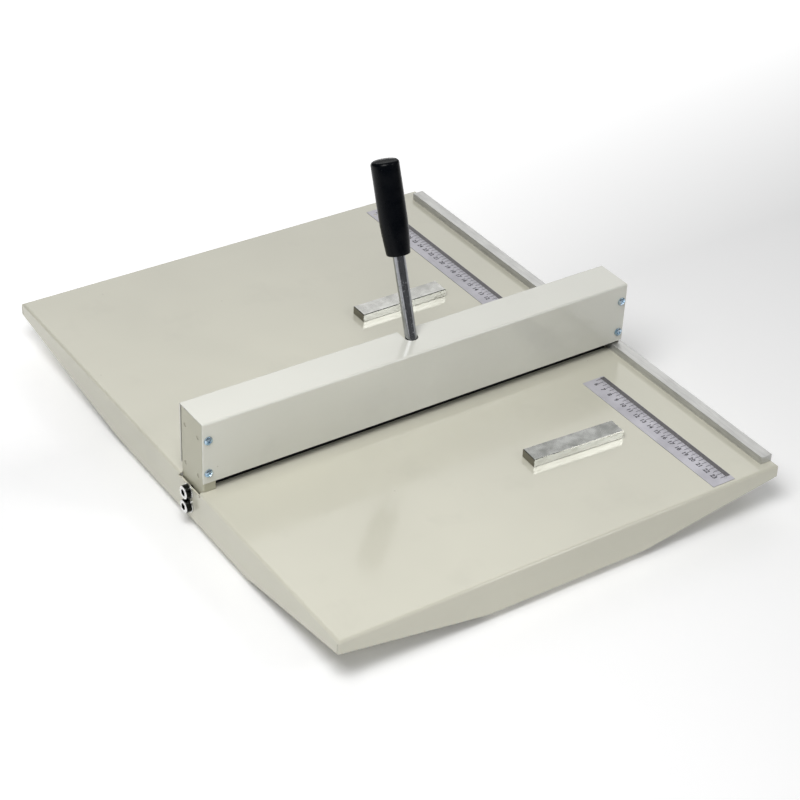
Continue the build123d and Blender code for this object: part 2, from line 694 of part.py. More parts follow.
spring_low = GUIDE_HIGH + SPRING_WIRE
spring_high = GUIDE_BUSH_LOW - SPRING_WIRE
spring_pitch = (spring_high - spring_low) / SPRING_TURNS
with BuildPart() as return_springs:
    for x, y in pin_places:
        with BuildLine() as coil:
            Helix(spring_pitch, spring_high - spring_low, SPRING_R, center=(x, y, spring_low))
        with BuildSketch(Plane(origin=coil.line @ 0, z_dir=coil.line % 0)):
            Circle(SPRING_WIRE)
        sweep(path=coil.line, is_frenet=True)
return_springs.part.label = "return_springs"
export_step(return_springs.part, "parts/return_springs.step")

# ------------------------------------------------------------- rocker shaft
cam_places = [(side * CAM_X, BEAM_Y, SHAFT_Z) for side in (-1, 1)]
hub_pin_places = [(side * HUB_PIN_X, BEAM_Y, SHAFT_Z) for side in (-1, 1)]

with BuildPart() as rocker_shaft:
    drill([SHAFT_CENTRE], SHAFT_R, 2 * (WEB_IN - 0.5), ACROSS, Mode.ADD)
    chamfer(rocker_shaft.faces().filter_by(Axis.X).edges(), 0.6)
    drill(cam_places + hub_pin_places, PIN_R, 4 * SHAFT_R, (0, 0, 0))
rocker_shaft.part.label = "rocker_shaft"
export_step(rocker_shaft.part, "parts/rocker_shaft.step")

with BuildPart() as drive_pins:
    drill(cam_places, PIN_R, 2 * CAM_HUB_R - 0.6, (0, 0, 0), Mode.ADD)
    drill(hub_pin_places, PIN_R, 2 * HUB_R - 1.0, (0, 0, 0), Mode.ADD)
drive_pins.part.label = "drive_pins"
export_step(drive_pins.part, "parts/drive_pins.step")

collar_places = [(side * (COLLAR_OUT - COLLAR_W / 2), BEAM_Y, SHAFT_Z) for side in (-1, 1)]
with BuildPart() as shaft_collars:
    drill(collar_places, COLLAR_R, COLLAR_W, ACROSS, Mode.ADD)
    chamfer(shaft_collars.faces().filter_by(Axis.X).edges(), 0.5)
    drill(collar_places, SHAFT_R, 2 * COLLAR_W, ACROSS)
    tapped = [(x, y, z + (SHAFT_R + COLLAR_R) / 2) for x, y, z in collar_places]
    drill(tapped, M4 + TAP, 2 * (COLLAR_R - SHAFT_R), (0, 0, 0))
shaft_collars.part.label = "shaft_collars"
export_step(shaft_collars.part, "parts/shaft_collars.step")

with BuildPart() as collar_screws:
    drill(
        [(x, y, z + SHAFT_R + GRUB_LONG / 2) for x, y, z in collar_places],
        M4,
        GRUB_LONG,
        (0, 0, 0),
        Mode.ADD,
    )
collar_screws.part.label = "collar_screws"
export_step(collar_screws.part, "parts/collar_screws.step")


def involute(run):
    """Cam edge, in Y and Z from the shaft, where the follower rides at this run.

    The flat follower touches the cam one base radius behind the shaft, so each
    radian of swing lowers it by exactly the base radius.
    """
    turn = (run - CAM_START) / CAM_BASE_R
    y = CAM_BASE_R * cos(turn) + run * sin(turn)
    z = CAM_BASE_R * sin(turn) - run * cos(turn)
    return (BEAM_Y + y, SHAFT_Z + z)


for (name, side), place in zip(SIDES.items(), cam_places):
    with BuildPart() as cam:
        with BuildSketch(Plane.YZ.offset(place[0] - CAM_W / 2)):
            with BuildLine():
                run_step = (CAM_TIP - CAM_FIRST) / (CAM_POINTS - 1)
                edge = [involute(CAM_FIRST + run_step * i) for i in range(CAM_POINTS)]
                Spline(*edge)
                crest = (BEAM_Y + CAM_CREST[0], SHAFT_Z + CAM_CREST[1])
                crown = (BEAM_Y + CAM_CROWN[0], SHAFT_Z + CAM_CROWN[1])
                middle = (BEAM_Y, SHAFT_Z)
                Polyline(edge[-1], crest, crown, middle, edge[0])
            make_face()
            with Locations((BEAM_Y, SHAFT_Z)):
                Circle(CAM_HUB_R)
                Circle(SHAFT_R, mode=Mode.SUBTRACT)
        extrude(amount=CAM_W)
        drill([place], PIN_R, 4 * SHAFT_R, (0, 0, 0))
    cam.part.label = f"cam_{name}"
    export_step(cam.part, f"parts/cam_{name}.step")

with BuildPart() as lever_hub:
    drill([SHAFT_CENTRE], HUB_R, HUB_W, ACROSS, Mode.ADD)
    chamfer(lever_hub.faces().filter_by(Axis.X).edges(), 0.8)
    with BuildSketch(LEVER_PLANE):
        Circle(BOSS_R)
    extrude(amount=BOSS_TOP)
    drill([SHAFT_CENTRE], SHAFT_R, 2 * HUB_W, ACROSS)
    with BuildSketch(LEVER_PLANE.offset(BOSS_TOP)):
        Circle(STUD_R + TAP)
    extrude(amount=-(BOSS_TOP - SHAFT_R), mode=Mode.SUBTRACT)
    drill(hub_pin_places, PIN_R, 4 * SHAFT_R, (0, 0, 0))
lever_hub.part.label = "lever_hub"
export_step(lever_hub.part, "parts/lever_hub.step")

with BuildPart() as lever_rod:
    with BuildSketch(LEVER_PLANE.offset(STUD_START)):
        Circle(STUD_R)
    extrude(amount=BOSS_TOP - STUD_START)
    with BuildSketch(LEVER_PLANE.offset(BOSS_TOP)):
        Circle(ROD_R)
    extrude(amount=GRIP_BORE_END - 0.5 - BOSS_TOP)
lever_rod.part.label = "lever_rod"
export_step(lever_rod.part, "parts/lever_rod.step")

with BuildPart() as lever_grip:
    with BuildSketch(LEVER_PROFILE):
        with BuildLine():
            heel = (GRIP_R_LOW - GRIP_HEEL, GRIP_START)
            waist = (GRIP_R_LOW, GRIP_START + GRIP_HEEL)
            shoulder = (GRIP_R_TOP, GRIP_START + GRIP_TAPER)
            neck = (GRIP_R_TOP, GRIP_END - GRIP_DOME - GRIP_RIM)
            brow = (GRIP_R_TOP - GRIP_RIM, GRIP_END - GRIP_DOME)
            Line((0, GRIP_START), heel)
            RadiusArc(heel, waist, -GRIP_HEEL)
            Spline(waist, shoulder, tangents=((0.1, 1), (0, 1)))
            Line(shoulder, neck)
            RadiusArc(neck, brow, -GRIP_RIM)
            Spline(brow, (0, GRIP_END), tangents=((-1, 0.05), (-1, 0)))
            Line((0, GRIP_END), (0, GRIP_START))
        make_face()
    revolve(axis=Axis(SHAFT_CENTRE, LEVER_DIR))
    with BuildSketch(LEVER_PLANE.offset(GRIP_START - 1)):
        Circle(ROD_R)
    extrude(amount=GRIP_BORE_END - GRIP_START + 1, mode=Mode.SUBTRACT)
lever_grip.part.label = "lever_grip"
export_step(lever_grip.part, "parts/lever_grip.step")

# ------------------------------------------------------------- press bar
clamp_screw_xs = [side * x for side in (-1, 1) for x in CLAMP_SCREW_X]
screw_z = (CLAMP_LOW + STEP_Z) / 2
pad_screws_at = [
    (side * CAM_X + end * PAD_SCREW_X, BEAM_Y) for side in (-1, 1) for end in (-1, 1)
]

with BuildPart() as press_bar:
    box_between((-BAR_X, BEAM_Y - BAR_Y, BAR_LOW), (BAR_X, BEAM_Y + BAR_Y, BAR_HIGH))
    box_between(
        (-BAR_X - 1, BEAM_Y - BLADE_T / 2, BAR_LOW - 1),
        (BAR_X + 1, BEAM_Y + BAR_Y + 1, STEP_Z),
        mode=Mode.SUBTRACT,
    )
    chamfer(press_bar.edges().filter_by(Axis.X).group_by(Axis.Z)[-1], 0.6)
    box_between(
        (-TONGUE_X, BEAM_Y - TONGUE_Y, TONGUE_LOW), (TONGUE_X, BEAM_Y + TONGUE_Y, TONGUE_HIGH)
    )
    drill([(x, y, TONGUE_LOW) for x, y in pin_places], GUIDE_BUSH_R, 30, (0, 0, 0))
    blade_holes = [(x, BEAM_Y - TAPPED / 2 + 0.5, screw_z) for x in clamp_screw_xs]
    drill(blade_holes, M4 + TAP, TAPPED, ALONG)
    drill([(x, y, BAR_HIGH) for x, y in pad_screws_at], M3 + TAP, 1.5 * TAPPED, (0, 0, 0))
press_bar.part.label = "press_bar"
export_step(press_bar.part, "parts/press_bar.step")

with BuildPart() as crease_blade:
    box_between(
        (-BLADE_X, BEAM_Y - BLADE_T / 2, BLADE_EDGE),
        (BLADE_X, BEAM_Y + BLADE_T / 2, STEP_Z - 0.1),
    )
    fillet(crease_blade.edges().filter_by(Axis.X).group_by(Axis.Z)[0], 0.4)
    drill([(x, BEAM_Y, screw_z) for x in clamp_screw_xs], M4 + CLEAR, 8, ALONG)
crease_blade.part.label = "crease_blade"
export_step(crease_blade.part, "parts/crease_blade.step")

with BuildPart() as blade_clamp:
    clamp_in = BEAM_Y + BLADE_T / 2
    box_between(
        (-BLADE_X, clamp_in, CLAMP_LOW), (BLADE_X, clamp_in + CLAMP_T, STEP_Z - 0.1)
    )
    chamfer(blade_clamp.edges().filter_by(Axis.X).group_by(Axis.Z)[0], 0.6)
    drill([(x, clamp_in, screw_z) for x in clamp_screw_xs], M4 + CLEAR, 3 * CLAMP_T, ALONG)
blade_clamp.part.label = "blade_clamp"
export_step(blade_clamp.part, "parts/blade_clamp.step")

with BuildPart() as clamp_screws:
    seat_y = clamp_in + CLAMP_T
    heads = [(x, seat_y + CAP_H / 2, screw_z) for x in clamp_screw_xs]
    drill(heads, CLAMP_HEAD_R, CAP_H, ALONG, Mode.ADD)
    shanks = [(x, seat_y - CLAMP_SCREW / 2, screw_z) for x in clamp_screw_xs]
    drill(shanks, M4, CLAMP_SCREW, ALONG, Mode.ADD)
clamp_screws.part.label = "clamp_screws"
export_step(clamp_screws.part, "parts/clamp_screws.step")

with BuildPart() as wear_pads:
    for side in (-1, 1):
        box_between(
            (side * CAM_X - PAD_X, BEAM_Y - PAD_Y, BAR_HIGH),
            (side * CAM_X + PAD_X, BEAM_Y + PAD_Y, BAR_HIGH + PAD_T),
        )
    with Locations(*[(x, y, BAR_HIGH + PAD_T) for x, y in pad_screws_at]):
        CounterSinkHole(M3 + CLEAR, PAD_HEAD_R, depth=2 * PAD_T)
wear_pads.part.label = "wear_pads"
export_step(wear_pads.part, "parts/wear_pads.step")

with BuildPart() as pad_screws:
    with Locations(*[(x, y, BAR_HIGH + PAD_T - PAD_SINK) for x, y in pad_screws_at]):
        hang = (Align.CENTER, Align.CENTER, Align.MAX)
        Cone(M3, PAD_HEAD_R - PAD_SINK, PAD_HEAD_R - PAD_SINK - M3, align=hang)
        Cylinder(M3, TAPPED, align=hang)
pad_screws.part.label = "pad_screws"
export_step(pad_screws.part, "parts/pad_screws.step")

with BuildPart() as guide_bushes:
    with BuildSketch(Plane.XY.offset(GUIDE_BUSH_LOW)):
        with Locations(*pin_places):
            Circle(GUIDE_BUSH_R)
            Circle(GUIDE_PIN_R + RUN_FIT, mode=Mode.SUBTRACT)
    extrude(amount=TONGUE_HIGH - GUIDE_BUSH_LOW)
guide_bushes.part.label = "guide_bushes"
export_step(guide_bushes.part, "parts/guide_bushes.step")

# ------------------------------------------------------------- side fence
with BuildPart() as side_fence:
    box_between(
        (FENCE_IN, BEAM_Y + FENCE_LOW, TOP), (FENCE_OUT, BEAM_Y + FENCE_HIGH, TOP + FENCE_H)
    )
    fillet(side_fence.faces().sort_by(Axis.Z)[-1].edges(), FENCE_EDGE_R)
    # the bar is narrowed where the right bracket passes it
    box_between(
        (WEB_IN - NOTCH_PLAY, BEAM_Y - NOTCH_Y, TOP - 1),
        (FENCE_OUT + 1, BEAM_Y + NOTCH_Y, TOP + FENCE_H + 1),
        mode=Mode.SUBTRACT,
    )
    drill(fence_holes, M4 + TAP, 2 * FENCE_TAPPED, (0, 0, 0))
side_fence.part.label = "side_fence"
export_step(side_fence.part, "parts/side_fence.step")

with BuildPart() as fence_screws:
    under = TOP - SHEET
    heads = [(x, y, under - PAN_H / 2) for x, y, _ in fence_holes]
    drill(heads, PAN_R, PAN_H, (0, 0, 0), Mode.ADD)
    shanks = [(x, y, under + FENCE_SCREW / 2) for x, y, _ in fence_holes]
    drill(shanks, M4, FENCE_SCREW, (0, 0, 0), Mode.ADD)
fence_screws.part.label = "fence_screws"
export_step(fence_screws.part, "parts/fence_screws.step")

# ------------------------------------------------------------- scales
for name, (low, high) in SCALE_SPANS.items():
    with BuildPart() as ruler:
        box_between(
            (SCALE_IN, BEAM_Y + low, TOP), (SCALE_IN + SCALE_W, BEAM_Y + high, TOP + SCALE_T)
        )
        if name == "rear":
            hole = (SCALE_HOLE[0], BEAM_Y + SCALE_HOLE[1], TOP)
            drill([hole], SCALE_HOLE_R, 4 * SCALE_T, (0, 0, 0))
    ruler.part.label = f"ruler_{name}"
    export_step(ruler.part, f"parts/ruler_{name}.step")

# ------------------------------------------------------------- magnetic stops
for name, (x, y, turn) in STOP_PLACES.items():
    stop_plane = Plane(origin=(x, BEAM_Y + y, TOP + STOP_GAP)).rotated((0, 0, turn))
    with BuildPart() as stop:
        with BuildSketch(stop_plane):
            Rectangle(STOP_X, STOP_Y)
        extrude(amount=STOP_H)
        chamfer(stop.faces().sort_by(Axis.Z)[-1].edges(), 0.5)
        with BuildSketch(stop_plane):
            with GridLocations(MAGNET_PITCH, 1, 3, 1):
                Circle(MAGNET_R)
        extrude(amount=MAGNET_T + 0.1, mode=Mode.SUBTRACT)
    stop.part.label = f"{name}_stop"
    export_step(stop.part, f"parts/{name}_stop.step")

    with BuildPart() as magnets:
        with BuildSketch(stop_plane.offset(0.05)):
            with GridLocations(MAGNET_PITCH, 1, 3, 1):
                Circle(MAGNET_R - TAP)
        extrude(amount=MAGNET_T)
    magnets.part.label = f"{name}_stop_magnets"
    export_step(magnets.part, f"parts/{name}_stop_magnets.step")
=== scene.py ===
"""Visual model of a lever-operated paper creasing press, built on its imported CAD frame."""

import json
import math

import bmesh
import bpy
from mathutils import Matrix, Vector


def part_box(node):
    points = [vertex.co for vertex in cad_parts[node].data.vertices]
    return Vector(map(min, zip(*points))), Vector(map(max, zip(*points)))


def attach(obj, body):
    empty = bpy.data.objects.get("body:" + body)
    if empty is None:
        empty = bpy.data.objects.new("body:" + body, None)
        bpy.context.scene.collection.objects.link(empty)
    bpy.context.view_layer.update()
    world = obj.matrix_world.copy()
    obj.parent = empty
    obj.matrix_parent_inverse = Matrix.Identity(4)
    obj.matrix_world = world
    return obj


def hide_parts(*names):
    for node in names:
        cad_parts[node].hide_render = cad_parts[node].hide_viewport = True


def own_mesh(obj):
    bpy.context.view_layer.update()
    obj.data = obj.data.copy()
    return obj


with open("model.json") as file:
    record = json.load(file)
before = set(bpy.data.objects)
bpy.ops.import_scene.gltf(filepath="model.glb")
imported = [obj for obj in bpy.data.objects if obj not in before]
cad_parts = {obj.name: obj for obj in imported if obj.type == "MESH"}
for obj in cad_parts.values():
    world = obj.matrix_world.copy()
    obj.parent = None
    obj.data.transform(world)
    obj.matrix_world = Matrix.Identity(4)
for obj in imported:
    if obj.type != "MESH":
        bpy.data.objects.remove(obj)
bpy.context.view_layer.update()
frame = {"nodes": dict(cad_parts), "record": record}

MM = 0.001

# Camera: where its axis passes, its angles in degrees, its distance and its lens
VIEW_CENTRE = Vector((-7.36, -39.94, 48.53)) * MM
VIEW_AZIMUTH = -35.09
VIEW_ELEVATION = 34.51
VIEW_ROLL = 2.724
VIEW_DISTANCE = 1.9118
LENS_MM = 92.36

# Lever, as in the CAD: lean of the rod from upright at rest, and its axis of swing
LEVER_LEAN = math.radians(19.2)
SHAFT = Vector((0, -48.5, 99.0)) * MM
ROD_R = 5.7 * MM
ROD_STUD_R = 4.0 * MM
GRIP_LOW_R = 11.1 * MM
GRIP_TOP_R = 13.08 * MM

# Inner face of the end plates, which painted screws pass
WEB_IN = 229.2 * MM

# Cover screws: M4 pan heads
PAN_R = 4.0 * MM
PAN_H = 2.35 * MM
PAN_SHANK_R = 2.0 * MM
PAN_SHANK = 3.0 * MM

# Side bolts: M8 low heads with a 6 mm hexagon socket, and their washers
BOLT_R = 4.0 * MM
BOLT_HEAD_R = 6.5 * MM
BOLT_HEAD_H = 5.2 * MM
BOLT_EDGE_R = 0.9 * MM
BOLT_SHANK = 6.0 * MM
HEX_REACH = 3.5 * MM
HEX_DEPTH = 2.2 * MM
HEX_POINT = 0.4 * MM
WASHER_R = 7.3 * MM
WASHER_HOLE_R = 4.3 * MM
WASHER_T = 1.2 * MM
FINE_BEVEL = 0.2 * MM

# Return springs
SPRING_R = 4.0 * MM
WIRE_R = 0.5 * MM
SPRING_TURNS = 5

# Printed scales
CM = 10 * MM
INK = 0.03 * MM
DIGIT_H = 4.4 * MM
DIGIT_PITCH = 3.1 * MM
DIGIT_LINE = 8.4 * MM
DIGIT_BOLD = 0.042
BAND = 5.0 * MM

# Light: the floor is pale near the machine and grey far from it
PALE_REACH = 1.35
GREY_REACH = 2.3


def linear(red, green, blue):
    """A colour given as 0 to 255 values, as the linear numbers that shaders use."""
    out = []
    for value in (red, green, blue):
        v = value / 255
        out.append(v / 12.92 if v <= 0.04045 else ((v + 0.055) / 1.055) ** 2.4)
    return (*out, 1.0)


# ------------------------------------------------------------------ materials
class Shade:
    """A node material under construction. Each call adds nodes and returns an output."""

    def __init__(self, name, **fixed):
        self.material = bpy.data.materials.new(name)
        self.material.use_nodes = True
        self.nodes = self.material.node_tree.nodes
        self.links = self.material.node_tree.links
        self.surface = self.nodes["Principled BSDF"]
        self.place = self.nodes.new("ShaderNodeTexCoord").outputs["Object"]
        self.normal = None
        for socket, value in fixed.items():
            self.surface.inputs[socket.replace("_", " ")].default_value = value

    def feed(self, socket, value):
        """Links an output to a socket, or sets the socket to a plain value."""
        if isinstance(value, bpy.types.NodeSocket):
            self.links.new(value, socket)
        else:
            socket.default_value = value

    def noise(self, scale, detail=2.0, rough=0.5, stretch=(1, 1, 1), shift=0.0):
        """Fractal noise with this many features a metre."""
        mapping = self.nodes.new("ShaderNodeMapping")
        self.links.new(self.place, mapping.inputs["Vector"])
        mapping.inputs["Scale"].default_value = stretch
        mapping.inputs["Location"].default_value = (shift, shift * 0.7, shift * 0.3)
        node = self.nodes.new("ShaderNodeTexNoise")
        self.links.new(mapping.outputs["Vector"], node.inputs["Vector"])
        node.inputs["Scale"].default_value = scale
        node.inputs["Detail"].default_value = detail
        node.inputs["Roughness"].default_value = rough
        return node.outputs["Fac"]

    def dots(self, scale, shift=0.0):
        """Distance from scattered points, this many a metre."""
        mapping = self.nodes.new("ShaderNodeMapping")
        self.links.new(self.place, mapping.inputs["Vector"])
        mapping.inputs["Location"].default_value = (shift, shift, shift)
        node = self.nodes.new("ShaderNodeTexVoronoi")
        self.links.new(mapping.outputs["Vector"], node.inputs["Vector"])
        node.inputs["Scale"].default_value = scale
        return node.outputs["Distance"]

    def span(self, value, low, high, out_low, out_high):
        """value from low..high carried to out_low..out_high, held at the ends."""
        node = self.nodes.new("ShaderNodeMapRange")
        numbers = (value, low, high, out_low, out_high)
        for socket, number in zip(node.inputs, numbers):
            self.feed(socket, number)
        return node.outputs["Result"]

    def combine(self, operation, a, b):
        node = self.nodes.new("ShaderNodeMath")
        node.operation = operation
        self.feed(node.inputs[0], a)
        self.feed(node.inputs[1], b)
        return node.outputs["Value"]

    def mix(self, amount, a, b):
        node = self.nodes.new("ShaderNodeMix")
        node.data_type = "RGBA"
        self.feed(node.inputs["Factor"], amount)
        self.feed(node.inputs[6], a)
        self.feed(node.inputs[7], b)
        return node.outputs[2]

    def axis(self, vector, letter):
        """One component of a vector output."""
        node = self.nodes.new("ShaderNodeSeparateXYZ")
        self.links.new(vector, node.inputs["Vector"])
        return node.outputs[letter]

    def face_normal(self):
        return self.nodes.new("ShaderNodeNewGeometry").outputs["Normal"]

    def edges(self, radius):
        """1 on sharp outer and inner edges, 0 on open faces."""
        bevel = self.nodes.new("ShaderNodeBevel")
        bevel.samples = 6
        bevel.inputs["Radius"].default_value = radius
        dot = self.nodes.new("ShaderNodeVectorMath")
        dot.operation = "DOT_PRODUCT"
        self.links.new(bevel.outputs["Normal"], dot.inputs[0])
        self.links.new(self.face_normal(), dot.inputs[1])
        return self.span(dot.outputs["Value"], 0.995, 0.9, 0.0, 1.0)

    def crevice(self, reach):
        """1 deep in corners and narrow gaps, 0 on open faces."""
        node = self.nodes.new("ShaderNodeAmbientOcclusion")
        node.samples = 6
        node.inputs["Distance"].default_value = reach
        return self.span(node.outputs["AO"], 0.2, 0.7, 1.0, 0.0)

    def bump(self, height, depth):
        """Adds relief of this depth in metres to what is there already."""
        node = self.nodes.new("ShaderNodeBump")
        node.inputs["Distance"].default_value = depth
        self.feed(node.inputs["Height"], height)
        if self.normal is not None:
            self.links.new(self.normal, node.inputs["Normal"])
        self.normal = node.outputs["Normal"]

    def finish(self, colour, roughness):
        """Joins colour, roughness and relief to the surface and returns the material."""
        self.feed(self.surface.inputs["Base Color"], colour)
        self.feed(self.surface.inputs["Roughness"], roughness)
        if self.normal is not None:
            self.links.new(self.normal, self.surface.inputs["Normal"])
        return self.material


def paint(name, tone, shift, gloss=0.12, wear=0.3, edge=(160, 156, 144)):
    """Gloss enamel on sheet steel: soft clouding, a little dust, orange peel, edges in the edge tone
    (rubbed darker on table and brackets, a painted highlight on the cover) and painted shade in corners
    and narrow gaps.
    """
    s = Shade(name, Specular_IOR_Level=0.5)
    pale = linear(*tone)
    dull = linear(*[v * 0.972 for v in tone])
    colour = s.mix(s.span(s.noise(5, 3, shift=shift), 0.35, 0.65, 0, 1), pale, dull)
    grime = linear(*[v * 0.88 for v in tone])
    smudge = s.noise(16, 4, 0.6, shift=shift + 3)
    colour = s.mix(s.span(smudge, 0.58, 0.78, 0, 0.2), colour, grime)
    speck = s.span(s.dots(34, shift), 0.014, 0.03, 0.35, 0)
    colour = s.mix(speck, colour, linear(140, 132, 112))
    # edges in the edge tone: rubbed wear where it is darker, a painted highlight where it is lighter, as
    # on the cover
    edge_mark = s.combine("MULTIPLY", s.edges(0.8 * MM), s.span(s.noise(120, 3), 0.45, 0.65, 0, wear))
    colour = s.mix(edge_mark, colour, linear(*edge))
    # painted shade: dark brown in corners and narrow gaps, from an occlusion mask
    crevice_shade = s.combine("MULTIPLY", s.crevice(2.5 * MM), 0.75)
    colour = s.mix(crevice_shade, colour, linear(74, 68, 54))
    rough = s.span(s.noise(22, 4, 0.6, shift=shift + 7), 0.3, 0.7, gloss - 0.03, gloss + 0.04)
    s.bump(s.noise(420, 2), 0.006 * MM)
    s.bump(s.noise(90, 1, shift=shift), 0.01 * MM)
    return s.finish(colour, rough)


def metal(name, tone, gloss, stretch=(1, 1, 1), stain=0.3, shift=0, lines=900, depth=0.01, bare=1.0):
    """Bare, plated or machined steel: tool lines along stretch, stains, brighter edges."""
    s = Shade(name, Metallic=bare)
    base = linear(*tone)
    dark = linear(*[v * 0.72 for v in tone])
    colour = s.mix(s.span(s.noise(38, 4, 0.6, shift=shift), 0.42, 0.72, 0, stain), base, dark)
    grain = s.noise(lines, 2, 0.6, stretch, shift)
    colour = s.mix(s.span(grain, 0.35, 0.7, 0, 0.35), colour, dark)
    bright = linear(*[min(255, v * 1.12) for v in tone])
    colour = s.mix(s.combine("MULTIPLY", s.edges(0.4 * MM), 0.7), colour, bright)
    rough = s.span(s.noise(60, 3, 0.6, stretch, shift + 5), 0.3, 0.7, gloss - 0.06, gloss + 0.1)
    s.bump(grain, depth * MM)
    return s.finish(colour, rough)


def nickel():
    """The stop bars: nickel over ground steel, tops dulled by handling, end faces darkened as painted
    shade.
    """
    s = Shade("bright_nickel", Metallic=1.0)
    lines = s.noise(260, 3, 0.55, (0.12, 1, 1))
    colour = s.mix(s.span(lines, 0.3, 0.7, 0, 1), linear(190, 191, 186), linear(176, 177, 171))
    cloud = s.noise(52, 5, 0.62, shift=2)
    rise = s.axis(s.face_normal(), "Z")
    top = s.span(rise, 0.9, 0.99, 0, 1)
    # the front bar's top is darker than the rear bar's
    rear = s.span(s.axis(s.place, "Y"), -10 * MM, 10 * MM, 0, 1)
    light = s.mix(rear, linear(160, 161, 158), linear(188, 188, 184))
    dull = s.mix(rear, linear(128, 129, 126), linear(160, 160, 156))
    worn = s.mix(s.span(cloud, 0.38, 0.66, 0, 1), light, dull)
    colour = s.mix(s.combine("MULTIPLY", top, 0.95), colour, worn)
    # painted shade: the sloped chamfers along the bars' top edges are darkened to a dark line
    slope_low = s.span(rise, 0.2, 0.5, 0, 1)
    slope_high = s.span(rise, 0.99, 0.9, 0, 1)
    bevel = s.combine("MULTIPLY", slope_low, slope_high)
    edge_mark = s.combine("MULTIPLY", bevel, s.span(s.noise(36, 3), 0.4, 0.6, 0.75, 1))
    colour = s.mix(edge_mark, colour, linear(84, 82, 76))
    # painted shade: faces that point along X, the bars' ends, are darker
    sideways = s.combine("ABSOLUTE", s.axis(s.face_normal(), "X"), 0)
    colour = s.mix(s.span(sideways, 0.8, 0.95, 0, 0.92), colour, linear(132, 129, 119))
    rough = s.span(cloud, 0.35, 0.7, 0.08, 0.2)
    rough = s.combine("ADD", rough, s.combine("MULTIPLY", top, 0.12))
    s.bump(lines, 0.004 * MM)
    s.bump(s.noise(60, 2, shift=9), 0.03 * MM)
    return s.finish(colour, rough)


def chrome():
    """Bright chrome with fine pits and a few handling marks."""
    s = Shade("polished_chrome", Metallic=1.0)
    haze = s.noise(55, 5, 0.65)
    colour = s.mix(s.span(haze, 0.45, 0.7, 0, 0.5), linear(172, 174, 178), linear(106, 108, 112))
    pit = s.span(s.dots(420), 0.1, 0.2, 0.7, 0)
    colour = s.mix(pit, colour, linear(70, 66, 60))
    scuff = s.span(s.noise(420, 4, 0.65, (1, 1, 0.3), 5), 0.58, 0.66, 0, 1)
    s.bump(s.noise(260, 3), 0.012 * MM)
    s.bump(scuff, 0.05 * MM)
    return s.finish(colour, s.span(haze, 0.35, 0.7, 0.05, 0.16))


def zinc():
    """Clear blue zinc plate on the screws."""
    s = Shade("blue_zinc", Metallic=1.0)
    cloud = s.noise(240, 3, 0.6)
    colour = s.mix(s.span(cloud, 0.35, 0.65, 0, 1), linear(214, 228, 238), linear(150, 186, 214))
    s.bump(s.noise(900, 2), 0.006 * MM)
    return s.finish(colour, s.span(cloud, 0.3, 0.7, 0.16, 0.34))


def painted_screw():
    """Screws whose ends stand flush in the painted end plates: zinc inside, paint outside."""
    s = Shade("overpainted_screw", Specular_IOR_Level=0.5)
    reach = s.combine("ABSOLUTE", s.axis(s.place, "X"), 0)
    outside = s.span(reach, WEB_IN - 0.2 * MM, WEB_IN, 0, 1)
    cloud = s.noise(240, 3, 0.6)
    bare = s.mix(s.span(cloud, 0.35, 0.65, 0, 1), linear(196, 206, 212), linear(150, 170, 186))
    coat = s.mix(s.span(cloud, 0.35, 0.65, 0, 1), linear(190, 187, 168), linear(168, 165, 148))
    s.links.new(s.span(outside, 0, 1, 1, 0), s.surface.inputs["Metallic"])
    s.bump(cloud, 0.05 * MM)
    return s.finish(s.mix(outside, bare, coat), s.span(cloud, 0.3, 0.7, 0.26, 0.4))


def bolt_finish():
    """Side bolts: painted shade, near black, on the sides of their heads, and a painted highlight, near
    white, on faces that point along X: the head's face and the socket's floor.
    """
    s = Shade("bolt_painted_highlight_and_shade", Metallic=1.0)
    # faces pointing along X get the painted highlight, all others the painted shade
    face = s.span(s.combine("ABSOLUTE", s.axis(s.face_normal(), "X"), 0), 0.35, 0.8, 0, 1)
    cloud = s.noise(420, 3, 0.6)
    black = s.mix(s.span(cloud, 0.4, 0.7, 0, 1), linear(26, 27, 26), linear(58, 60, 57))
    bright = s.mix(s.span(cloud, 0.4, 0.7, 0, 1), linear(242, 242, 242), linear(200, 201, 200))
    s.bump(cloud, 0.01 * MM)
    return s.finish(s.mix(face, black, bright), s.span(cloud, 0.3, 0.7, 0.14, 0.3))


def black_oxide():
    """Blackened steel, worn a little on its edges."""
    s = Shade("black_oxide", Specular_IOR_Level=0.3)
    cloud = s.noise(120, 4, 0.6)
    colour = s.mix(s.span(cloud, 0.4, 0.7, 0, 1), linear(22, 22, 24), linear(40, 39, 38))
    colour = s.mix(s.combine("MULTIPLY", s.edges(0.3 * MM), 0.5), colour, linear(96, 94, 90))
    s.bump(s.noise(800, 2, 0.5, (0.05, 1, 1)), 0.006 * MM)
    return s.finish(colour, s.span(cloud, 0.3, 0.7, 0.4, 0.55))


def grip_plastic():
    """Black phenolic grip: smooth and glossy with a faint moulded ripple and dust."""
    s = Shade("black_phenolic", Specular_IOR_Level=0.12)
    cloud = s.noise(60, 4, 0.6)
    colour = s.mix(s.span(cloud, 0.4, 0.7, 0, 1), linear(2, 4, 8), linear(7, 9, 13))
    dust = s.span(s.noise(1500, 2), 0.68, 0.75, 0, 0.12)
    colour = s.mix(dust, colour, linear(90, 90, 88))
    s.bump(s.noise(180, 2), 0.02 * MM)
    return s.finish(colour, s.span(cloud, 0.3, 0.7, 0.2, 0.36))


def rubber():
    """Dusty black rubber."""
    s = Shade("black_rubber", Specular_IOR_Level=0.3)
    cloud = s.noise(130, 4, 0.6)
    colour = s.mix(s.span(cloud, 0.4, 0.7, 0, 1), linear(30, 30, 31), linear(58, 57, 55))
    s.bump(s.noise(1100, 3), 0.04 * MM)
    return s.finish(colour, s.span(cloud, 0.3, 0.7, 0.55, 0.8))


